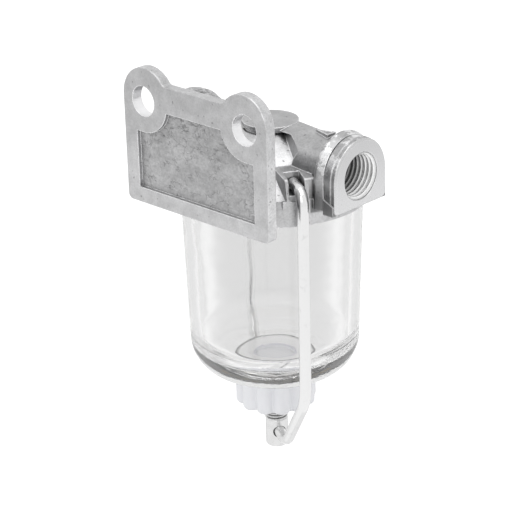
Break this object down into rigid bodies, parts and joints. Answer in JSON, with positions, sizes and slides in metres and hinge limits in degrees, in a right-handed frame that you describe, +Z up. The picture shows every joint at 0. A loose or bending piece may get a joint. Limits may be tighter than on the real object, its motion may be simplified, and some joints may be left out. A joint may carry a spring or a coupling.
{
  "type": "sediment-bowl fuel filter",
  "caption": "Fuel filter with a cast aluminium head on a mounting plate, two threaded ports and a glass sediment bowl held by a wire bail and thumb nut.",
  "frame": {"origin": "midway between the centres of the two mounting holes, on the mounting face of the plate", "axes": "+X along the two ports towards the inlet, +Y from the mounting face towards the bowl, +Z up along the bowl's axis"},
  "size_m": [0.0698, 0.0608, 0.1262],
  "materials": {
    "cast_aluminium": "as cast",
    "rubber": "matte",
    "brass": "plain",
    "brass_gauze": "woven",
    "glass": "pressed clear glass",
    "white_nylon": "moulded satin",
    "steel": "zinc plated",
    "plated_wire": "bright zinc plated"
  },
  "bodies": {
    "head": {"filter_head": "cast_aluminium", "bowl_gasket": "rubber", "strainer_frame": "brass", "strainer_gauze": "brass_gauze", "clamp_stud": "steel", "bail_wire": "plated_wire"},
    "bowl": {"sediment_bowl": "glass"},
    "thumb_nut": {"thumb_nut": "white_nylon"}
  },
  "joints": [
    {"name": "bowl_drop", "type": "slide", "parent": "head", "child": "bowl", "axis": [0, 0, -1], "range_m": [0, 0.005]},
    {"name": "nut_turn", "type": "hinge", "parent": "bowl", "child": "thumb_nut", "pos_m": [0, 0.03155, -0.095], "axis": [0, 0, -1], "range_deg": [0, 1800]}
  ],
  "couplings": [
    {"joint": "nut_turn", "follows": "bowl_drop", "rad_per_m": 6283.2}
  ]
}
